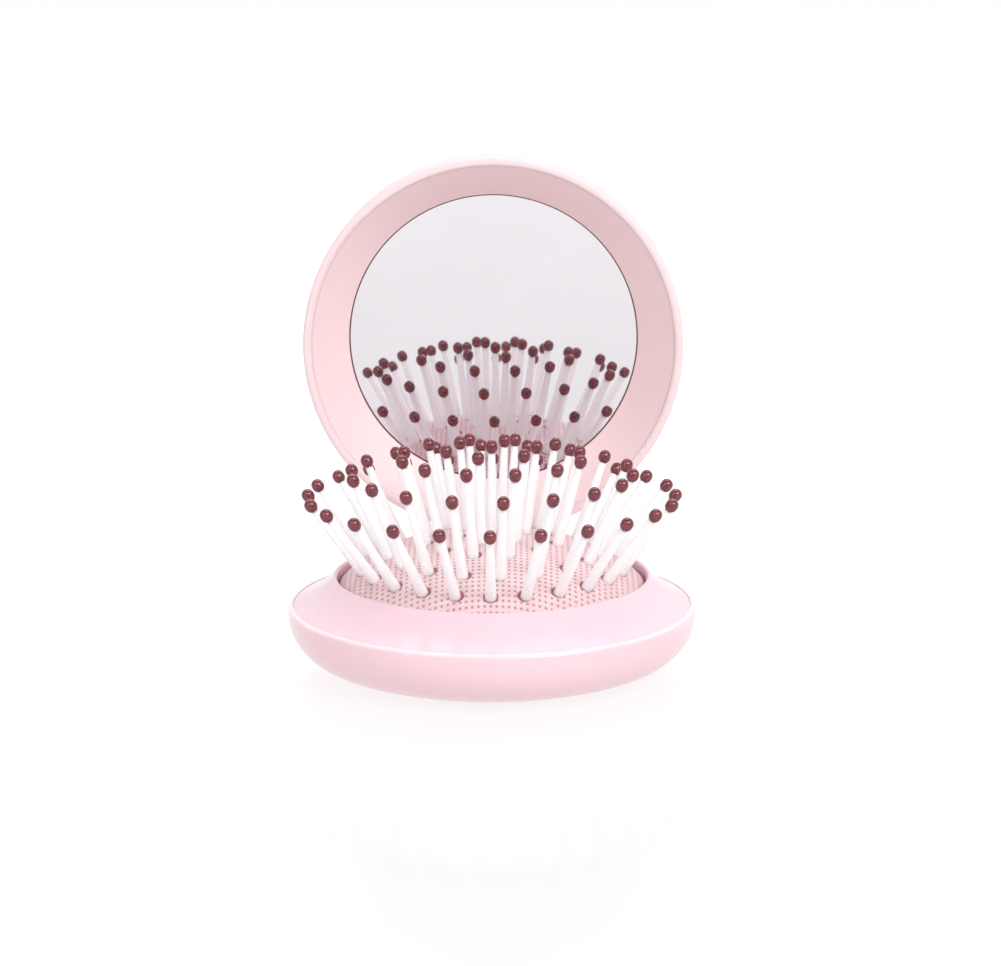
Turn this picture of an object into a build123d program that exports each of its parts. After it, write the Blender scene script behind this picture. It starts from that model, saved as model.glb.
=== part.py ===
"""Folding round hairbrush with a mirror in its lid, shown open with the pins raised.

Millimetres, +Z up. The origin is the centre of the foot, on the table. The hinge is at +Y and
the user stands at -Y. The bristle bed is round, so a place on it is an azimuth from the front
(-Y) towards +X, a radius and a height.
"""

import os
from math import cos, radians, sin, sqrt

from build123d import *

os.makedirs("parts", exist_ok=True)

# ---- base ------------------------------------------------------------------------------
base_radius = 40.2        # widest radius of the bowl
base_depth = 12.6         # table to the parting line
belt_drop = 1.5           # straight belt under the parting line
side_round = 9.8          # radius of the bowl's side, seen in section
side_turn = 68.6          # degrees of that arc before the flatter underside begins
foot_inset = 13.2         # from the widest place in to the flat ring that the brush stands on
bowl_wall = 2.8
bowl_floor = 1.4
lip_round = 0.9           # bead along the bowl's mouth
collar_socket_wall = 1.0  # bowl wall left outside the collar's skirt
collar_socket_depth = 2.6
fit_gap = 0.05            # a piece that plugs into another
loose_gap = 0.1           # faces that only come near each other
soft_gap = 0.3            # rubber beside a hard piece

# ---- collar round the cushion ----------------------------------------------------------
seat_width = 0.6          # flat land inside the bowl's bead, where the lid rests
shoulder_width = 9.7      # from the widest place in to the opening
opening_rise = 5.6        # top of the collar over the parting line
collar_lip = 3.8          # height of the collar's inner wall over the cushion's flange
lip_edge = 0.6            # rounding along the opening
collar_hollow = 0.35      # how far the cone is dished between its two edges
skirt_wall = 1.5

# ---- rubber cushion --------------------------------------------------------------------
crown_rise = 13.8         # top of the dome over the parting line
dome_drop = 17.0          # upright half axis of the dome's elliptical section
dome_overreach = 2.9      # the level half axis is this much more than the dome's edge
rubber = 1.1              # thickness of the sheet
dome_gap = 0.4            # opening to the place where the dome turns down
flange_width = 3.6
clamp_height = 1.6

# ---- pins ------------------------------------------------------------------------------
pin_length = 17.2         # from the rubber to the middle of the ball
pin_root_radius = 1.1     # where a pin leaves the rubber
pin_top_radius = 0.72     # under its ball
pin_head_radius = 1.3     # disc under the rubber
pin_head_thickness = 0.6
ball_radius = 1.22
ball_half_length = 1.4
spigot_radius = 0.5       # end of the pin inside its ball
spigot_length = 0.9
# the four rings round the middle pin, from the outside in
ring_counts = (24, 18, 12, 6)
ring_insets = (4.2, 9.3, 16.7, 23.3)          # roots, from the dome's edge
ring_lean_angles = (36.0, 23.5, 15.2, 7.7)    # from the vertical, in degrees
ring_azimuths = (0.0, 5.0, 15.0, 44.0)        # first pin of each ring
outer_count = 2           # rings whose pins tilt in sectors; the others only sink
sector_count = 6
sector_azimuth = 22.5     # middle of the first sector

# ---- push button and its guide ---------------------------------------------------------
plate_drop = 6.8          # dome's top to the raised plate
plate_inset = 8.58        # dome's edge in to the plate's edge
plate_ledge = 2.72        # plate's edge beyond the button's
button_thickness = 1.4
button_round = 0.5
button_dish = 0.7         # depth of the hollow for the finger
button_dish_radius = 9.4
button_hole_gap = 0.2
plate_thickness = 1.0
spigot_boss = 5.0         # boss of the button inside the plate
guide_gap = 0.08
guide_wall = 1.3          # posts that the plate slides between, across and along the radius
guide_post_width = 2.0
guide_post_azimuth = 37.0     # the first post stands between two pins
guide_ring_width = 3.4    # foot of the posts, on the bowl's floor
guide_ring_height = 0.9
guide_overlap = 0.5       # the posts stop this much below the raised plate's top

# ---- hinge -----------------------------------------------------------------------------
hinge_offset = 3.1        # widest place out to the hinge axis
hinge_rise = 0.4          # hinge axis over the parting line
open_angle = 89.0         # lid opening from shut
knuckle_radius = 2.5
hinge_pin_radius = 0.9
press_gap = 0.02
pin_running_gap = 0.05
lid_knuckle_half = 6.8
knuckle_gap = 0.2
lug_width = 4.0           # each of the bowl's two lugs, along X
stop_length = 5.0         # heel of the lid's knuckle that meets the bowl when open
stop_gap = 0.15

# ---- lid -------------------------------------------------------------------------------
lid_inset = 0.2           # lid's edge in from the bowl's widest place
lid_depth = 17.4          # rim plane to the crown of the shell
lid_crown = 3.6           # how much of that depth is the crown's doming
lid_corner = 8.0
lid_wall = 1.1
rim_width = 1.9
rim_round = 0.8
bezel_thickness = 1.0
bezel_lip = 0.6           # edge of the bezel over the mirror
cone_width = 7.15         # rim to the mirror, across the bezel
mirror_depth = 12.2       # rim plane to the glass
mirror_hidden = 0.9       # mirror under the bezel's lip
mirror_thickness = 1.0
pad_inset = 2.9           # mirror's edge in to the foam ring
pad_width = 4.5

# ---- places that follow from the sizes -------------------------------------------------
full_turn = 360
ahead = -1                # the front of the brush is on the -Y side
parting = base_depth
foot_radius = base_radius - foot_inset
opening_radius = base_radius - shoulder_width
mouth = opening_rise + parting
crown_height = parting + crown_rise
dome_middle = crown_height - dome_drop
dome_edge = opening_radius - dome_gap
dome_reach = dome_edge + dome_overreach
plate_radius = dome_edge - plate_inset
plate_top = crown_height - plate_drop
plate_foot = plate_top - plate_thickness
button_radius = plate_radius - plate_ledge
button_foot = plate_foot - button_thickness
hinge_reach = base_radius + hinge_offset
hinge_height = parting + hinge_rise
lug_start = lid_knuckle_half + knuckle_gap
lug_end = lug_start + lug_width
lid_radius = base_radius - lid_inset


def dome_height(radius, inset=0.0):
    """Height of the dome's surface, or of the sheet's underside with the inset of one sheet."""
    reach, drop = dome_reach - inset, dome_drop - inset
    return dome_middle + drop * sqrt(1 - (radius / reach) ** 2)


def save(piece, label):
    piece.label = label
    export_step(piece, f"parts/{label}.step")


def place(azimuth, radius, height, lean=0.0):
    """Plane at a place of the bristle bed, its normal leaning outwards from the vertical."""
    turn, tilt = radians(azimuth), radians(lean)
    outwards = Vector(sin(turn), ahead * cos(turn), 0)
    along = Vector(cos(turn), -ahead * sin(turn), 0)
    upwards = outwards * sin(tilt) + Vector(0, 0, cos(tilt))
    return Plane(origin=outwards * radius + Vector(0, 0, height), x_dir=along, z_dir=upwards)


def bowl_outline(wall, floor):
    """Right half of the bowl's section, moved in from its outer skin."""
    centre = (base_radius - side_round, parting - belt_drop)
    reach = side_round - wall
    knee = (centre[0] + reach * cos(radians(side_turn)), centre[1] - reach * sin(radians(side_turn)))
    belt = (base_radius - wall, centre[1])
    side = TangentArc(belt, knee, tangent=(0, -1))
    belly = TangentArc(knee, (foot_radius, floor), tangent=side % 1)
    Polyline(belly @ 1, (0, floor), (0, parting), (base_radius - wall, parting), belt)


# ---- bowl: the outer shell of the base -------------------------------------------------
socket_radius = base_radius - collar_socket_wall
button_hole = button_radius + button_hole_gap
lug_root = socket_radius - lip_round / 2          # the lugs start inside the bowl's wall

with BuildPart() as base_bowl:
    with BuildSketch(Plane.XZ):
        with BuildLine():
            bowl_outline(0, 0)
        make_face()
        with BuildLine(mode=Mode.PRIVATE) as cavity:
            bowl_outline(bowl_wall, bowl_floor)
        make_face(cavity.edges(), mode=Mode.SUBTRACT)
        with Locations((0, 0)):
            Rectangle(button_hole, bowl_floor * 2, align=(Align.MIN, Align.CENTER), mode=Mode.SUBTRACT)
        with Locations((0, parting)):
            Rectangle(socket_radius, collar_socket_depth, align=(Align.MIN, Align.MAX), mode=Mode.SUBTRACT)
    revolve(axis=Axis.Z)
    bead = base_bowl.edges().filter_by(GeomType.CIRCLE).group_by(Axis.Z)[-1].sort_by(SortBy.RADIUS)[-1]
    fillet(bead, lip_round)
    for side in (1, -1):
        with BuildSketch(Plane.YZ.offset(side * lug_start)):
            with Locations((hinge_reach, hinge_height)):
                Circle(knuckle_radius)
            with Locations((lug_root, hinge_height - knuckle_radius)):
                Rectangle(hinge_reach - lug_root, knuckle_radius - 2 * hinge_rise, align=Align.MIN)
        extrude(amount=side * (lug_end - lug_start))
    with BuildSketch(Plane.YZ.offset(-lug_end)):
        with Locations((hinge_reach, hinge_height)):
            Circle(hinge_pin_radius + press_gap)
    extrude(amount=2 * lug_end, mode=Mode.SUBTRACT)
save(base_bowl.part, "base_bowl")

# ---- collar: the conical ring that frames the cushion ----------------------------------
skirt_radius = socket_radius - fit_gap
skirt_foot = parting - collar_socket_depth + loose_gap
seat_radius = skirt_radius - seat_width
seat_height = parting + hinge_rise / 2
lip_height = mouth - collar_lip
pocket_radius = dome_edge + flange_width + fit_gap
flange_top = lip_height - soft_gap
flange_foot = flange_top - rubber
clamp_foot = flange_foot - clamp_height - loose_gap
cone_top = (opening_radius + lip_edge, mouth)
cone_foot = (seat_radius, seat_height)
cone_middle = tuple((top + foot) / 2 - collar_hollow for top, foot in zip(cone_top, cone_foot))
under_radius = skirt_radius - skirt_wall

with BuildPart() as base_collar:
    with BuildSketch(Plane.XZ):
        with BuildLine():
            Polyline(
                (skirt_radius, skirt_foot),
                (skirt_radius, parting - loose_gap),
                cone_foot,
            )
            ThreePointArc(cone_foot, cone_middle, cone_top)
            TangentArc(cone_top, (opening_radius, mouth - lip_edge), tangent=(-1, 0))
            Polyline(
                (opening_radius, mouth - lip_edge),
                (opening_radius, lip_height),
                (pocket_radius, lip_height),
                (pocket_radius, clamp_foot),
                (under_radius, clamp_foot),
                (under_radius, skirt_foot),
                (skirt_radius, skirt_foot),
            )
        make_face()
    revolve(axis=Axis.Z)
save(base_collar.part, "base_collar")

# ---- pins: where each one stands -------------------------------------------------------
sector_span = full_turn / sector_count
middle_spots = [place(0, 0, crown_height)]
sectors = [[] for _ in range(sector_count)]
for ring, (count, inset, lean, first) in enumerate(
    zip(ring_counts, ring_insets, ring_lean_angles, ring_azimuths)
):
    radius = dome_edge - inset
    for index in range(count):
        azimuth = first + index * full_turn / count
        spot = place(azimuth, radius, dome_height(radius), lean)
        sector = int((azimuth - sector_azimuth + sector_span / 2) % full_turn // sector_span)
        (sectors[sector] if ring < outer_count else middle_spots).append(spot)
every_place = sum(sectors, middle_spots)

# ---- cushion: the rubber dome that holds the pins --------------------------------------
dome_plane = Plane(origin=(0, 0, dome_middle), x_dir=(1, 0, 0), z_dir=(0, ahead, 0))
skirt_drop = dome_height(dome_edge) - flange_foot

with BuildPart() as cushion:
    with BuildSketch(dome_plane):
        Ellipse(dome_reach, dome_drop)
        Ellipse(dome_reach - rubber, dome_drop - rubber, mode=Mode.SUBTRACT)
        Rectangle(dome_edge, dome_drop, align=Align.MIN, mode=Mode.INTERSECT)
        with Locations((dome_edge, dome_height(dome_edge) - dome_middle)):
            Rectangle(rubber, skirt_drop, align=Align.MAX)
        with Locations((dome_edge - rubber, flange_foot - dome_middle)):
            Rectangle(rubber + flange_width, rubber, align=Align.MIN)
    revolve(axis=Axis.Z)
    for spot in every_place:
        with BuildSketch(spot.offset(-2 * rubber)):
            Circle(pin_root_radius + soft_gap / 2)
        extrude(amount=4 * rubber, mode=Mode.SUBTRACT)
save(cushion.part, "cushion")

# ---- clamp ring: holds the cushion's flange up in the collar ---------------------------
with BuildPart() as clamp_ring:
    with BuildSketch(Plane.XY.offset(clamp_foot)):
        Circle(pocket_radius - fit_gap)
        Circle(dome_edge, mode=Mode.SUBTRACT)
    extrude(amount=clamp_height)
save(clamp_ring.part, "cushion_clamp_ring")

# ---- push button, its plate and the guide -----------------------------------------
guide_radius = plate_radius + guide_gap
dish_sphere = (button_dish_radius**2 + button_dish**2) / (2 * button_dish)

with BuildPart() as push_button:
    with BuildSketch(Plane.XY.offset(button_foot)):
        Circle(button_radius)
    extrude(amount=button_thickness)
    with BuildSketch(Plane.XY.offset(plate_foot)):
        Circle(spigot_boss)
    extrude(amount=plate_thickness)
    button_edge = push_button.edges().filter_by(GeomType.CIRCLE).group_by(Axis.Z)[0]
    fillet(button_edge, button_round)
    with Locations((0, 0, button_foot + button_dish - dish_sphere)):
        Sphere(dish_sphere, mode=Mode.SUBTRACT)
save(push_button.part, "push_button")

with BuildPart() as button_plate:
    with BuildSketch(Plane.XY.offset(plate_foot)):
        Circle(plate_radius)
        Circle(spigot_boss + fit_gap, mode=Mode.SUBTRACT)
    extrude(amount=plate_thickness)
save(button_plate.part, "button_plate")

with BuildPart() as button_guide:
    with BuildSketch(Plane.XY.offset(bowl_floor)):
        Circle(guide_radius + guide_ring_width)
        Circle(guide_radius, mode=Mode.SUBTRACT)
    extrude(amount=guide_ring_height)
    with BuildSketch(Plane.XY.offset(bowl_floor)):
        Circle(guide_radius + guide_wall)
        with PolarLocations(0, sector_count, start_angle=guide_post_azimuth + ahead * full_turn / 4):
            Rectangle(plate_radius * 2, guide_post_width, align=(Align.MIN, Align.CENTER), mode=Mode.INTERSECT)
        Circle(guide_radius, mode=Mode.SUBTRACT)
    extrude(amount=plate_top - guide_overlap - bowl_floor)
save(button_guide.part, "button_guide")

# ---- pins and their balls --------------------------------------------------------------
ball_straight = ball_half_length - ball_radius           # half of the ball's short cylinder
ball_bore = spigot_radius + press_gap
ball_seat = ball_straight + sqrt(ball_radius**2 - ball_bore**2)
pin_shoulder = pin_length - ball_seat - press_gap
head_top = -rubber - fit_gap

with BuildPart() as pin:
    with BuildSketch(Plane.XZ):
        with BuildLine():
            Polyline(
                (0, pin_length + spigot_length / 2),
                (spigot_radius, pin_length + spigot_length / 2),
                (spigot_radius, pin_shoulder),
                (pin_top_radius, pin_shoulder),
                (pin_root_radius, 0),
                (pin_root_radius, head_top),
                (pin_head_radius, head_top),
                (pin_head_radius, head_top - pin_head_thickness),
                (0, head_top - pin_head_thickness),
                close=True,
            )
        make_face()
    revolve(axis=Axis.Z)

with BuildPart() as ball:
    with BuildSketch(Plane.XZ):
        with BuildLine():
            CenterArc((0, -ball_straight), ball_radius, -90, 90)
            Line((ball_radius, -ball_straight), (ball_radius, ball_straight))
            CenterArc((0, ball_straight), ball_radius, 0, 90)
            Line((0, ball_half_length), (0, -ball_half_length))
        make_face()
    revolve(axis=Axis.Z)
    with BuildSketch(Plane.XY.offset(spigot_length / 2 + press_gap)):
        Circle(ball_bore)
    extrude(amount=-2 * ball_half_length, mode=Mode.SUBTRACT)


def repeat(piece, spots, label):
    """One node that holds a copy of the piece on each of the spots."""
    with BuildPart() as group:
        with Locations(*[spot.location for spot in spots]):
            add(piece)
    save(group.part, label)


groups = {f"sector_{number}": spots for number, spots in enumerate(sectors, start=1)}
groups["middle"] = middle_spots
for name, spots in groups.items():
    repeat(pin.part, spots, f"pins_{name}")
    repeat(ball.part, [spot.offset(pin_length) for spot in spots], f"pin_balls_{name}")

# ---- hinge pin -------------------------------------------------------------------------
with BuildPart() as hinge_pin:
    with BuildSketch(Plane.YZ.offset(-lug_end)):
        with Locations((hinge_reach, hinge_height)):
            Circle(hinge_pin_radius)
    extrude(amount=2 * lug_end)
save(hinge_pin.part, "hinge_pin")

# ---- lid: drawn in its own section, radius by depth behind the rim plane ---------------
turned = radians(open_angle)
lid_up = Vector(0, -cos(turned), sin(turned))      # from the hinge to the middle of the lid
lid_back = Vector(0, sin(turned), cos(turned))     # from the rim plane into the dish
lid_centre = Vector(0, hinge_reach, hinge_height) + lid_up * hinge_reach
lid_axis = Axis(lid_centre, lid_back)
lid_section = Plane(origin=lid_centre, x_dir=(1, 0, 0), z_dir=lid_up)
crown_radius = (lid_radius**2 + lid_crown**2) / (2 * lid_crown)


def crown_depth(radius, wall=0.0):
    """Depth of the domed back at a radius, or of its inner face with the wall."""
    return lid_depth - crown_radius + sqrt((crown_radius - wall) ** 2 - radius**2)


def lid_outline(radius, wall):
    """Half section of a domed dish, filled in, before its corner is rounded."""
    apex, edge = (0, crown_depth(0, wall)), (radius, crown_depth(radius, wall))
    TangentArc(apex, edge, tangent=(1, 0))
    Polyline(edge, (radius, 0), (0, 0), apex)


hollow_radius = lid_radius - rim_width
knuckle_side = Plane(
    origin=Vector(-lid_knuckle_half, hinge_reach, hinge_height), x_dir=lid_back, z_dir=(1, 0, 0)
)
web_reach = hinge_reach - hollow_radius - rim_round    # hinge axis to the middle of the rim
stop_thickness = hinge_offset - stop_gap - hinge_pin_radius - loose_gap

with BuildPart() as lid_shell:
    with BuildSketch(lid_section) as dish:
        with BuildLine():
            lid_outline(lid_radius, 0)
        make_face()
        fillet(dish.vertices().group_by(Axis.X)[-1].sort_by(Axis.Y)[-1], lid_corner)
    revolve(axis=lid_axis)
    with BuildSketch(lid_section) as hollow:
        with BuildLine():
            lid_outline(hollow_radius, lid_wall)
        make_face()
        fillet(hollow.vertices().group_by(Axis.X)[-1].sort_by(Axis.Y)[-1], lid_corner - rim_width)
    revolve(axis=lid_axis, mode=Mode.SUBTRACT)
    fillet(lid_shell.faces().sort_by(lid_axis)[0].edges(), rim_round)
    with BuildSketch(knuckle_side):
        Circle(knuckle_radius)
        with Locations((rim_round, 0)):
            Rectangle(knuckle_radius - rim_round, web_reach, align=Align.MIN)
        with Locations((stop_gap - hinge_offset, 0)):
            Rectangle(stop_thickness, stop_length, align=(Align.MIN, Align.MAX))
    extrude(amount=2 * lid_knuckle_half)
    with BuildSketch(knuckle_side):
        Circle(hinge_pin_radius + pin_running_gap)
    extrude(amount=2 * lid_knuckle_half, mode=Mode.SUBTRACT)
save(lid_shell.part, "lid_shell")

# ---- bezel: the cone between the rim and the mirror ------------------------------------
bezel_radius = hollow_radius - press_gap
bezel_front = mirror_depth - bezel_lip
mirror_sight = hollow_radius - cone_width             # radius of the mirror that shows
mirror_radius = mirror_sight + mirror_hidden
mirror_pocket = mirror_radius + loose_gap
mirror_back = mirror_depth + mirror_thickness
pad_outer = mirror_radius - pad_inset
pad_inner = pad_outer - pad_width

with BuildPart() as lid_bezel:
    with BuildSketch(lid_section):
        with BuildLine():
            Polyline(
                (bezel_radius, rim_round),
                (mirror_sight, bezel_front),
                (mirror_sight, mirror_depth - fit_gap),
                (mirror_pocket, mirror_depth - fit_gap),
                (mirror_pocket, mirror_back),
                (mirror_pocket + bezel_thickness, mirror_back),
                (bezel_radius, rim_round + 2 * bezel_thickness),
                close=True,
            )
        make_face()
    revolve(axis=lid_axis)
save(lid_bezel.part, "lid_bezel")

# ---- mirror and the foam ring behind it ------------------------------------------------
with BuildPart() as mirror:
    with BuildSketch(lid_section):
        with Locations((0, mirror_depth)):
            Rectangle(mirror_radius, mirror_thickness, align=Align.MIN)
    revolve(axis=lid_axis)
save(mirror.part, "mirror")

with BuildPart() as mirror_pad:
    with BuildSketch(lid_section):
        with BuildLine():
            Polyline(
                (pad_inner, mirror_back),
                (pad_outer, mirror_back),
                (pad_outer, crown_depth(pad_outer, lid_wall) - fit_gap),
                (pad_inner, crown_depth(pad_inner, lid_wall) - fit_gap),
                close=True,
            )
        make_face()
    revolve(axis=lid_axis)
save(mirror_pad.part, "mirror_foam_ring")
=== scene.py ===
import math

import bmesh
import bpy
import numpy as np
from mathutils import Matrix, Vector


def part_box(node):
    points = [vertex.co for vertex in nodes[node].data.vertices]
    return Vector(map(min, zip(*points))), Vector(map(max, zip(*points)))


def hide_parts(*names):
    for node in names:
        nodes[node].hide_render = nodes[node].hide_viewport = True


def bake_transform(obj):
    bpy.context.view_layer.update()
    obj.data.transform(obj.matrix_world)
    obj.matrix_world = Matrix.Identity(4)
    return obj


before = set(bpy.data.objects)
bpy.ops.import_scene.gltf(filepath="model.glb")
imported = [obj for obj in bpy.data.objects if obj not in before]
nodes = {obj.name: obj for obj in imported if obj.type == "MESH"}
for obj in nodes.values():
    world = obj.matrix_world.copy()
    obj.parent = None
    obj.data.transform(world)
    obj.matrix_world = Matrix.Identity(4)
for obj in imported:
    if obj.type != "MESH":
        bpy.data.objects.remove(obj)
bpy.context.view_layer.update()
mm = 0.001
print("frame loaded:", len(nodes), "nodes")


# one output socket; sums and products of them become Math or Vector Math nodes
class Value:
    def __init__(self, web, socket):
        self.web, self.socket = web, socket

    def isVector(self):
        return self.socket.type == "VECTOR"

    def maths(self, operation, *terms):
        values = [t for t in terms if isinstance(t, Value)]
        vectors = any(t.isVector() for t in values) or any(isinstance(t, tuple) for t in terms)
        kind = "ShaderNodeVectorMath" if vectors else "ShaderNodeMath"
        return self.web.node(kind, {"operation": operation}, dict(enumerate(terms)))

    def __add__(self, other): return self.maths("ADD", self, other)
    def __radd__(self, other): return self.maths("ADD", other, self)
    def __sub__(self, other): return self.maths("SUBTRACT", self, other)
    def __rsub__(self, other): return self.maths("SUBTRACT", other, self)
    def __mul__(self, other): return self.maths("MULTIPLY", self, other)
    def __rmul__(self, other): return self.maths("MULTIPLY", other, self)
    def __pow__(self, other): return self.maths("POWER", self, other)
    def __rpow__(self, other): return self.maths("POWER", other, self)


# the nodes of one material; lengths are given in mm
class Web:
    def __init__(self, name):
        self.material = bpy.data.materials.new(name)
        self.material.use_nodes = True
        self.tree = self.material.node_tree
        self.tree.nodes.clear()

    def node(self, kind, settings=None, values=None, out=0):
        made = self.tree.nodes.new(kind)
        # settings first, because they change the sockets
        for name, value in (settings or {}).items():
            setattr(made, name, value)
        for name, value in (values or {}).items():
            socket = made.inputs[name]
            if isinstance(value, Value):
                self.tree.links.new(value.socket, socket)
            elif socket.type == "RGBA" and len(value) == 3:
                socket.default_value = (*value, 1.0)
            else:
                socket.default_value = value
        return Value(self, made.outputs[out]) if len(made.outputs) else made

    def place(self):  # where a point of the surface is, in metres
        return self.node("ShaderNodeTexCoord", out="Object")

    def axes(self, spot):
        return [self.node("ShaderNodeSeparateXYZ", values={0: spot}, out=i) for i in range(3)]

    def reach(self, *axes):  # distance from the middle, from its parts along the axes
        return sum((axis * axis for axis in axes[1:]), axes[0] * axes[0]) ** 0.5

    def noise(self, grain, detail=2.0, stretch=(1.0, 1.0, 1.0)):  # grain: size of a cloud
        values = {"Vector": self.place() * stretch, "Scale": 1 / (grain * mm), "Detail": detail}
        return self.node("ShaderNodeTexNoise", values=values)

    def cells(self, grain):
        values = {"Vector": self.place(), "Scale": 1 / (grain * mm)}
        return self.node("ShaderNodeTexVoronoi", {"feature": "F1"}, values)

    def mix(self, share, low, high):  # between two colours
        settings = {"data_type": "RGBA", "clamp_factor": True}
        return self.node("ShaderNodeMix", settings, {"Factor": share, 6: low, 7: high}, out=2)

    def spread(self, value, ends, new=(0.0, 1.0)):  # carries one range over to another
        values = dict(enumerate((value, *ends, *new)))
        return self.node("ShaderNodeMapRange", values=values)

    def ramp(self, value, start, end):  # 0 at the start and 1 at the end of a length
        return self.spread(value, (start * mm, end * mm))

    def bump(self, height, depth, strength):
        values = {"Strength": strength, "Distance": depth * mm, "Height": height}
        return self.node("ShaderNodeBump", values=values)

    def finish(self, **sockets):
        values = {spelt(word): value for word, value in sockets.items()}
        shader = self.node("ShaderNodeBsdfPrincipled", values=values)
        self.node("ShaderNodeOutputMaterial", values={0: shader})
        return self.material


def spelt(word):  # baseColor becomes Base Color, ior becomes IOR
    if word == "ior":
        return "IOR"
    return "".join(" " + c if c.isupper() else c for c in word).title()


def dress(material, *names):
    for name in names:
        mesh = nodes[name].data
        mesh.materials.clear()
        mesh.materials.append(material)


def shade(color, share):
    return tuple(c * share for c in color)


cloudy = (0.3, 0.7)    # ends of a soft noise
patchy = (0.35, 0.65)  # ends of a noise with clearer patches
middleTone = 0.5       # of any noise

# moulded plastic: faint clouds from the flow of the melt and an orange-peel gloss; lengths in mm
plasticLook = {
    "flow": 28.0, "flowTones": (0.985, 1.01),
    "handled": 9.0, "handledShift": 0.08,                   # where fingers rub it
    "scuffTop": 0.9, "scuffFull": 0.1, "scuffRough": 0.25,  # where it stands on tables
    "scratch": 1.2, "scratchStretch": (1.0, 0.15, 1.0), "scratchEnds": (0.52, 0.62),
    "peel": 0.8, "peelStrength": 0.5, "ior": 1.46, "coatRough": 0.12,
    "inside": 0.06, "insideRadius": (0.6, 0.3, 0.3), "insideScale": 0.002,
}
shellLook = {
    "color": (0.885, 0.610, 0.665), "rough": 0.24, "peelDepth": 0.004, "coat": 0.35,
    # painted highlight: between these heights the rolled edge of the bowl's mouth is painted paler
    "bead": (0.885, 0.735, 0.760), "beadFrom": 12.05, "beadTo": 12.40,
    "beadReach": 40.25, "beadFade": 0.1,
}
lidLook = {"color": (0.860, 0.680, 0.700), "rough": 0.36, "peelDepth": 0.004, "coat": 0.1}
collarLook = {"color": (0.845, 0.600, 0.672), "rough": 0.30, "peelDepth": 0.004, "coat": 0.2}
coneLook = {"color": (0.925, 0.712, 0.724), "rough": 0.34, "peelDepth": 0.006, "coat": 0.15}
buttonLook = {"color": (0.850, 0.600, 0.650), "rough": 0.42, "peelDepth": 0.012, "coat": 0.0}


def mouldedPlastic(name, look):
    web, plastic = Web(name), plasticLook
    flow = web.spread(web.noise(plastic["flow"], detail=3.0), cloudy)
    handled = web.noise(plastic["handled"], detail=3.0) - middleTone
    across, along, height = web.axes(web.place())
    foot = web.ramp(height, plastic["scuffTop"], plastic["scuffFull"])
    scratch = web.noise(plastic["scratch"], detail=4.0, stretch=plastic["scratchStretch"])
    worn = foot * web.spread(scratch, plastic["scratchEnds"])
    tone = web.mix(flow, *[shade(look["color"], share) for share in plastic["flowTones"]])
    # painted highlight: the rolled edge of the bowl's mouth is painted paler, as the bright line of
    # light it catches, and the hinge lugs beyond it aren't
    if "bead" in look:
        bead = web.ramp(height, look["beadFrom"], look["beadTo"])
        radius, reach = web.reach(across, along), look["beadReach"]
        bead = bead * web.ramp(radius, reach + look["beadFade"], reach)
        tone = web.mix(bead, tone, look["bead"])
    return web.finish(
        baseColor=tone,
        roughness=look["rough"] + handled * plastic["handledShift"] + worn * plastic["scuffRough"],
        ior=plastic["ior"],
        coatWeight=look["coat"],
        coatRoughness=plastic["coatRough"],
        subsurfaceWeight=plastic["inside"],
        subsurfaceRadius=plastic["insideRadius"],
        subsurfaceScale=plastic["insideScale"],
        normal=web.bump(web.noise(plastic["peel"]), look["peelDepth"], plastic["peelStrength"]),
    )


dress(mouldedPlastic("shellPink", shellLook), "base_bowl")
dress(mouldedPlastic("lidPink", lidLook), "lid_shell")
dress(mouldedPlastic("collarPink", collarLook), "base_collar")
dress(mouldedPlastic("conePink", coneLook), "lid_bezel")
dress(mouldedPlastic("buttonPink", buttonLook), "push_button")
print("pink plastic: bowl, lid, collar, cone and button")

# nylon pins, a little milky, drawn out along their length, and lacquered balls; lengths in mm
pinLook = {
    "color": (0.985, 0.965, 0.975), "milk": (0.960, 0.925, 0.950), "rough": 0.36, "roughShift": 0.2,
    "streak": 0.5, "streakStretch": (1.0, 1.0, 0.12), "streakEnds": (0.35, 0.7),
    "depth": 0.01, "strength": 0.4, "ior": 1.5,
    "inside": 0.7, "insideRadius": (1.0, 0.85, 0.9), "insideScale": 0.0016,
}
ballLook = {
    "color": (0.200, 0.022, 0.034), "dark": (0.120, 0.010, 0.018), "rough": 0.10, "roughShift": 0.1,
    "cloud": 1.1, "grain": 0.3, "depth": 0.004, "strength": 0.4, "ior": 1.70,
}
pinGroups = [f"sector_{number}" for number in range(1, 7)] + ["middle"]


def pinNylon():
    web, look = Web("pinNylon"), pinLook
    streak = web.noise(look["streak"], detail=3.0, stretch=look["streakStretch"])
    return web.finish(
        baseColor=web.mix(web.spread(streak, look["streakEnds"]), look["color"], look["milk"]),
        roughness=look["rough"] + (streak - middleTone) * look["roughShift"],
        ior=look["ior"],
        subsurfaceWeight=look["inside"],
        subsurfaceRadius=look["insideRadius"],
        subsurfaceScale=look["insideScale"],
        normal=web.bump(streak, look["depth"], look["strength"]),
    )


def ballLacquer():
    web, look = Web("ballLacquer"), ballLook
    cloud = web.noise(look["cloud"])
    return web.finish(
        baseColor=web.mix(web.spread(cloud, patchy), look["color"], look["dark"]),
        roughness=look["rough"] + (cloud - middleTone) * look["roughShift"],
        ior=look["ior"],
        normal=web.bump(web.noise(look["grain"]), look["depth"], look["strength"]),
    )


dress(pinNylon(), *[f"pins_{group}" for group in pinGroups])
dress(ballLacquer(), *[f"pin_balls_{group}" for group in pinGroups])
print("pins and balls")

# mirror glass: faint haze, and a dark ring painted round its edge inside the cone for the shade and
# reflection of the cone's lip; lengths in mm
mirrorLook = {
    "color": (0.765, 0.728, 0.760), "paler": 1.03, "haze": 16.0, "rough": (0.02, 0.035),
    # edge: painted shade, the dark colour of the ring just inside the cone's lip
    "edge": (0.16, 0.08, 0.09), "sight": 30.95, "line": 0.26, "fade": 0.1,
}


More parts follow.
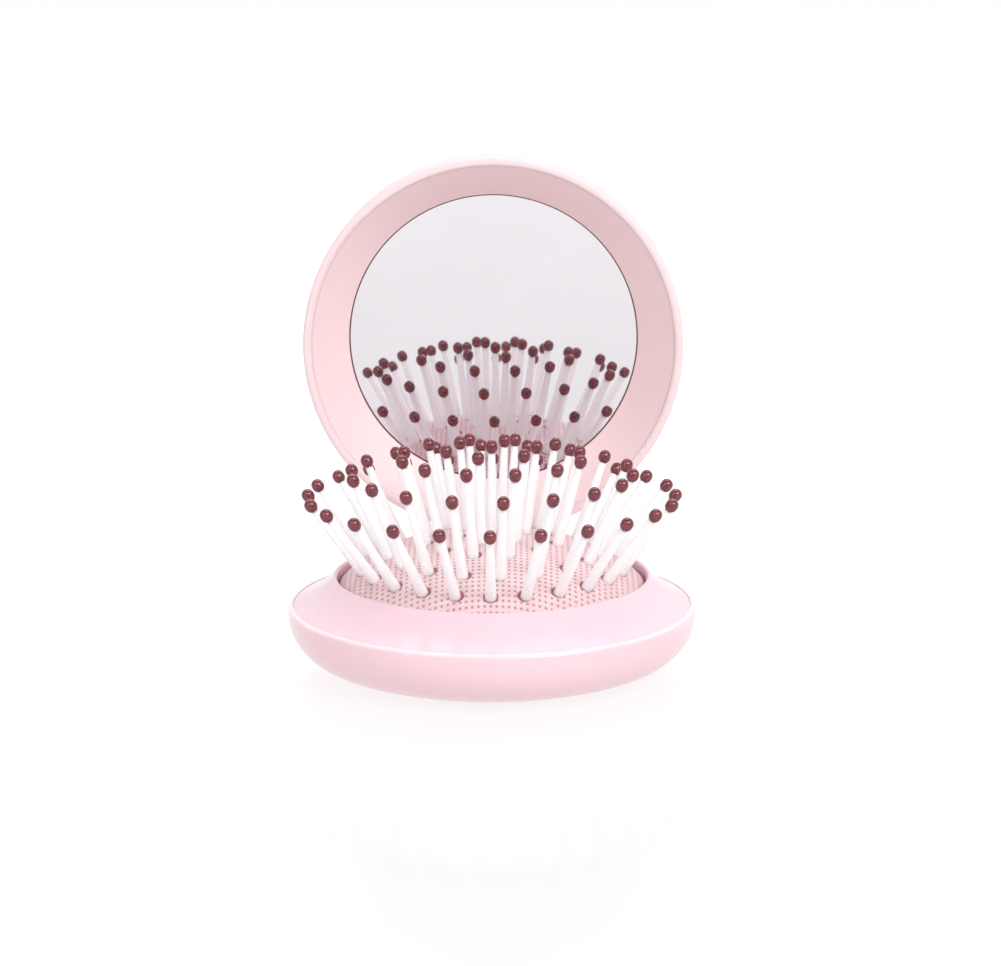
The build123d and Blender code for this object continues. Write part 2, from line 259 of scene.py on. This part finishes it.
def mirrorSilver():
    web, look = Web("mirrorSilver"), mirrorLook
    low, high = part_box("mirror")
    radius = web.reach(*web.axes(web.place() - tuple((low + high) / 2)))
    # painted shade and reflection: the mirror is painted dark in a ring just inside the cone's lip,
    # which shades it and is reflected in it
    start = look["sight"] - look["line"]
    line = web.ramp(radius, start - look["fade"], start)
    haze = web.noise(look["haze"], detail=4.0)
    tone = web.mix(web.spread(haze, cloudy), look["color"], shade(look["color"], look["paler"]))
    return web.finish(
        baseColor=web.mix(line, tone, look["edge"]),
        metallic=1.0,
        roughness=web.spread(haze, cloudy, look["rough"]),
    )


dress(mirrorSilver(), "mirror")
print("mirror")

# pieces inside and underneath; lengths in mm
innerLook = {
    "color": (0.86, 0.84, 0.84), "darker": 0.96, "rough": 0.48, "roughShift": 0.15,
    "cloud": 14.0, "grain": 0.6, "depth": 0.01, "strength": 0.4,
}
steelLook = {
    "color": (0.58, 0.58, 0.60), "darker": 0.85, "rough": 0.28, "roughShift": 0.2,
    "streak": 0.25, "streakStretch": (0.05, 1.0, 1.0), "depth": 0.005, "strength": 0.5,
}
foamLook = {
    "color": (0.030, 0.030, 0.032), "tones": (0.6, 1.6), "rough": (0.85, 0.98),
    "cell": 0.45, "cellEnds": (0.2, 0.8), "depth": 0.12, "strength": 0.8,
}


def innerPlastic():
    web, look = Web("innerWhite"), innerLook
    grain = web.noise(look["grain"], detail=3.0)
    cloud = web.spread(web.noise(look["cloud"]), cloudy)
    return web.finish(
        baseColor=web.mix(cloud, look["color"], shade(look["color"], look["darker"])),
        roughness=look["rough"] + (grain - middleTone) * look["roughShift"],
        normal=web.bump(grain, look["depth"], look["strength"]),
    )


def drawnSteel():  # drawn along the hinge
    web, look = Web("drawnSteel"), steelLook
    streak = web.noise(look["streak"], detail=3.0, stretch=look["streakStretch"])
    darker = shade(look["color"], look["darker"])
    return web.finish(
        baseColor=web.mix(web.spread(streak, cloudy), look["color"], darker),
        metallic=1.0,
        roughness=look["rough"] + (streak - middleTone) * look["roughShift"],
        normal=web.bump(streak, look["depth"], look["strength"]),
    )


def blackFoam():
    web, look = Web("blackFoam"), foamLook
    cell = web.cells(look["cell"])
    tones = [shade(look["color"], share) for share in look["tones"]]
    return web.finish(
        baseColor=web.mix(web.spread(cell, look["cellEnds"]), *tones),
        roughness=web.spread(cell, (0.0, 1.0), look["rough"]),
        normal=web.bump(cell, look["depth"], look["strength"]),
    )


dress(innerPlastic(), "button_plate", "button_guide", "cushion_clamp_ring")
dress(drawnSteel(), "hinge_pin")
dress(blackFoam(), "mirror_foam_ring")
print("inner pieces")

# cushion: crowned rubber dome with a grid of dimples, sunk a little round every pin, with shade
# painted in the dimples, round the pins' roots and towards its edge; sizes in mm
cushionLook = {
    "edge": 30.1,          # where the dome turns down
    "reach": 33.0,         # half axes of the dome's section
    "drop": 17.0,
    "sheet": 1.1,
    "step": 0.21,          # of the mesh
    "pitch": 1.15,         # between dimples
    "dimple": 0.34,        # radius of one
    "depth": 0.15,
    "plain": 0.6,          # width of the smooth border, and of the fade into it
    "well": 1.30,          # radius of the dip round a pin's root, at its floor and at its rim
    "wellRim": 1.55,
    "wellDepth": 0.22,
    "turn": 0.05,          # small round where the dome turns down
    "turnDrop": 0.3,
    "footGap": 0.4,        # the skirt's end over the flange's foot
    "underRings": (27, 3, 9),  # first, last and count of the rings of mesh under the dome
    "color": (0.800, 0.590, 0.610),
    "pale": (0.840, 0.650, 0.665),
    "edgeShade": 18.0,         # painted shade: from here out the rubber is painted darker towards its edge, under the collar's lip
    "edgeShadeTone": 0.95,
    # painted shade: the dark colour painted in each dimple
    "dot": (0.500, 0.235, 0.255),
    "dimpleShadeEnds": (1.1, 0.45),    # of the dimple's radius
    # painted shade: the dark colour round each pin's root
    "root": (0.300, 0.095, 0.110),
    "cloud": 11.0, "rough": (0.46, 0.58),
    "grain": 0.35, "grainDepth": 0.008, "grainStrength": 0.4,
    "ior": 1.5, "inside": 0.1, "insideRadius": (1.0, 0.4, 0.4), "insideScale": 0.001,
}


def cushionHeight(radius, crown, inset=0.0):
    reach, drop = cushionLook["reach"] - inset, cushionLook["drop"] - inset
    return crown - cushionLook["drop"] + drop * np.sqrt(1 - (radius / reach) ** 2)


def pinAxes():  # middle and direction of each pin, from the loose parts of the pins' meshes
    found = []
    for group in pinGroups:
        mesh = bmesh.new()
        mesh.from_mesh(nodes[f"pins_{group}"].data)
        bmesh.ops.remove_doubles(mesh, verts=mesh.verts, dist=mm / 1000)
        mesh.verts.index_update()
        left = set(mesh.verts)
        while left:
            part, edge = set(), {min(left, key=lambda v: v.index)}
            while edge:
                part |= edge
                edge = {e.other_vert(v) for v in edge for e in v.link_edges} - part
            left -= part
            points = np.array([v.co[:] for v in sorted(part, key=lambda v: v.index)]) / mm
            middle = (points.min(axis=0) + points.max(axis=0)) / 2
            along = np.linalg.svd(points - points.mean(axis=0), full_matrices=False)[2][0]
            found.append((middle, along if along[2] > 0 else -along))
        mesh.free()
    return found


# height of the dimpled skin over x and y, and how near each spot is to a pin's root, which sets the
# shade painted there
def cushionSkin(x, y, crown):
    look = cushionLook
    radius = np.hypot(x, y)
    z = cushionHeight(np.minimum(radius, look["edge"]), crown)
    away = np.hypot(*[(axis / look["pitch"] + 0.5) % 1 - 0.5 for axis in (x, y)]) * look["pitch"]
    fade = np.clip((look["edge"] - look["plain"] - radius) / look["plain"], 0, 1)
    sunk = look["depth"] * fade * np.clip(1 - (away / look["dimple"]) ** 2, 0, 1)
    spots = np.stack([x, y, z], axis=-1)
    rootShadeShare = np.zeros_like(z)
    pins = pinAxes()
    print("pins found:", len(pins))
    for middle, along in pins:
        reach = spots - middle
        off = np.linalg.norm(reach - (reach @ along)[..., None] * along, axis=-1)
        share = np.clip((look["wellRim"] - off) / (look["wellRim"] - look["well"]), 0, 1)
        share = share * share * (3 - 2 * share)
        sunk = np.maximum(sunk * (1 - share), look["wellDepth"] * share)
        rootShadeShare = np.maximum(rootShadeShare, share)
    return z - sunk, rootShadeShare


def makeCushion():
    look = cushionLook
    low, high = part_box("cushion")
    crown, foot = high.z / mm, low.z / mm
    step = look["step"]
    count = int(look["edge"] / step) + 1
    line = np.arange(-count, count + 1) * step
    x, y = np.meshgrid(line, line, indexing="ij")
    inside = np.hypot(x, y) <= look["edge"] - step / 2
    z, rootShadeShare = cushionSkin(x, y, crown)
    mesh = bmesh.new()
    root = mesh.verts.layers.float.new("root")  # painted shade: 1 in the dip round a pin, where the rubber is painted dark
    index = {}
    for i, j in zip(*np.nonzero(inside)):
        index[i, j] = mesh.verts.new((x[i, j] * mm, y[i, j] * mm, z[i, j] * mm))
        index[i, j][root] = rootShadeShare[i, j]
    for i, j in index:
        corners = [(i, j), (i + 1, j), (i + 1, j + 1), (i, j + 1)]
        if all(c in index for c in corners):
            mesh.faces.new([index[c] for c in corners])
    for vert in [v for v in mesh.verts if not v.link_faces]:
        mesh.verts.remove(vert)
    # the open rim is drawn out to a round edge, down the skirt, across and back under the dome
    rim = [e for e in mesh.edges if e.is_boundary]
    edge, inner = look["edge"], look["edge"] - look["sheet"]
    rings = [
        (edge - look["turn"], cushionHeight(edge - look["turn"], crown)),
        (edge, cushionHeight(edge, crown) - look["turnDrop"]),
        (edge, foot + look["footGap"]),
        (inner, foot + look["footGap"]),
        (inner, cushionHeight(inner, crown, look["sheet"])),
    ]
    rings += [(r, cushionHeight(r, crown, look["sheet"])) for r in np.linspace(*look["underRings"])]
    for ring, height in rings:
        made = bmesh.ops.extrude_edge_only(mesh, edges=rim)["geom"]
        rim = [g for g in made if isinstance(g, bmesh.types.BMEdge)]
        for vert in (g for g in made if isinstance(g, bmesh.types.BMVert)):
            out = Vector((vert.co.x, vert.co.y, 0)).normalized() * ring * mm
            vert.co = (out.x, out.y, height * mm)
    bmesh.ops.holes_fill(mesh, edges=rim)
    bmesh.ops.recalc_face_normals(mesh, faces=mesh.faces)
    data = bpy.data.meshes.new("cushionDome")
    mesh.to_mesh(data)
    mesh.free()
    data.shade_smooth()
    piece = bpy.data.objects.new("cushion_dome", data)
    bpy.context.scene.collection.objects.link(piece)
    return piece


def cushionRubber():
    web, look = Web("cushionRubber"), cushionLook
    x, y = web.axes(web.place())[:2]
    half = look["pitch"] * mm / 2
    across, along = [
        web.node("ShaderNodeMath", {"operation": "WRAP"}, {0: axis, 1: half, 2: -half})
        for axis in (x, y)
    ]
    # painted shade: each dimple is painted dark
    dot = web.ramp(web.reach(across, along), *[look["dimple"] * share for share in look["dimpleShadeEnds"]])
    cloud = web.noise(look["cloud"], detail=3.0)
    skin = web.mix(web.spread(cloud, cloudy), look["color"], look["pale"])
    # painted shade: the rubber is darker towards the dome's edge, in the shadow of the collar's lip
    edgeShade = web.ramp(web.reach(x, y), look["edgeShade"], look["edge"])
    skin = web.mix(edgeShade, skin, shade(look["color"], look["edgeShadeTone"]))
    root = web.node("ShaderNodeAttribute", {"attribute_name": "root"}, out=2)
    return web.finish(
        # painted shade in the dimples and round the pins' roots
        baseColor=web.mix(root, web.mix(dot, skin, look["dot"]), look["root"]),
        roughness=web.spread(cloud, cloudy, look["rough"]),
        ior=look["ior"],
        subsurfaceWeight=look["inside"],
        subsurfaceRadius=look["insideRadius"],
        subsurfaceScale=look["insideScale"],
        normal=web.bump(web.noise(look["grain"]), look["grainDepth"], look["grainStrength"]),
    )


cushion = makeCushion()
cushion.data.materials.append(cushionRubber())
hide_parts("cushion")
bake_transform(cushion)
print("cushion:", len(cushion.data.vertices), "vertices")

# white glossy table, swept up into a wall; it glows a little, so that no hard shadow forms on it
floorLook = {
    "half": 6.0, "back": 2.2, "bend": 0.8, "bendSteps": 17, "rise": 4.0,        # metres
    "color": (0.16, 0.16, 0.16), "paler": 1.05, "glow": 0.73, "wallGlow": 1.0,
    "rough": 0.12, "ior": 1.33, "grain": 90.0,
}
studioLook = {"aim": (0.0, 0.0, 0.04), "world": 0.60}  # where lamps aim, and the sky's strength
lampLook = {  # metres and watts
    "key": {"spot": (0.80, -0.86, 0.88), "size": (0.8, 0.8), "power": 9.0},
    "fill": {"spot": (-0.75, -0.95, 0.75), "size": (0.9, 0.9), "power": 3.5},
    "top": {"spot": (0.0, 0.60, 1.20), "size": (1.0, 0.8), "power": 5.4},
    "spark": {"spot": (0.20, -1.05, 0.85), "size": (0.34, 0.34), "power": 2.5},
}


def makeFloor():
    look = floorLook
    half, back, bend = look["half"], look["back"], look["bend"]
    turns = np.linspace(0, math.pi / 2, look["bendSteps"])
    profile = [(-half, 0.0)]
    profile += [(back + bend * math.sin(a), bend * (1 - math.cos(a))) for a in turns]
    profile += [(back + bend, look["rise"])]
    corners = [(x, y, z) for y, z in profile for x in (-half, half)]
    quads = [(2 * n, 2 * n + 1, 2 * n + 3, 2 * n + 2) for n in range(len(profile) - 1)]
    data = bpy.data.meshes.new("tableSweep")
    data.from_pydata(corners, [], quads)
    data.shade_smooth()
    floor = bpy.data.objects.new("table_sweep", data)
    bpy.context.scene.collection.objects.link(floor)
    web = Web("tableWhite")
    grain = web.spread(web.noise(look["grain"]), cloudy)
    wall = web.spread(web.axes(web.place())[2], (0.0, bend))
    data.materials.append(web.finish(
        baseColor=web.mix(grain, look["color"], shade(look["color"], look["paler"])),
        roughness=look["rough"],
        ior=look["ior"],
        emissionColor=web.mix(wall, (look["glow"],) * 3, (look["wallGlow"],) * 3),
        emissionStrength=1.0,
    ))


def softLamp(name, look):
    lamp = bpy.data.lights.new(name, "AREA")
    lamp.shape, lamp.energy = "RECTANGLE", look["power"]
    lamp.size, lamp.size_y = look["size"]
    holder = bpy.data.objects.new(name, lamp)
    holder.location = look["spot"]
    aim = Vector(studioLook["aim"]) - Vector(look["spot"])
    holder.rotation_euler = aim.to_track_quat("-Z", "Y").to_euler()
    bpy.context.scene.collection.objects.link(holder)


makeFloor()
for lampName, look in lampLook.items():
    softLamp(lampName, look)
world = bpy.data.worlds.new("studio")
world.use_nodes = True
color, strength = world.node_tree.nodes["Background"].inputs[:2]
color.default_value, strength.default_value = (1, 1, 1, 1), studioLook["world"]
bpy.context.scene.world = world
bpy.context.scene.view_settings.view_transform = "Standard"
print("table and lamps")

# camera: mm and degrees
cameraLook = {
    "spot": (4.51, -510.84, 145.44), "lens": 95.87, "sensor": 36.0, "clip": 10.0,
    "yaw": 0.311, "pitch": 77.948, "roll": -0.1056,
}


def turned(name, axis):
    return Matrix.Rotation(math.radians(cameraLook[name]), 4, axis)


lens = bpy.data.cameras.new("studioCamera")
lens.lens, lens.sensor_width = cameraLook["lens"], cameraLook["sensor"]
lens.clip_start = cameraLook["clip"] * mm
eye = bpy.data.objects.new("studioCamera", lens)
spot = Matrix.Translation(Vector(cameraLook["spot"]) * mm)
eye.matrix_world = spot @ turned("yaw", "Z") @ turned("pitch", "X") @ turned("roll", "Z")
bpy.context.scene.collection.objects.link(eye)
bpy.context.scene.camera = eye
print("camera")
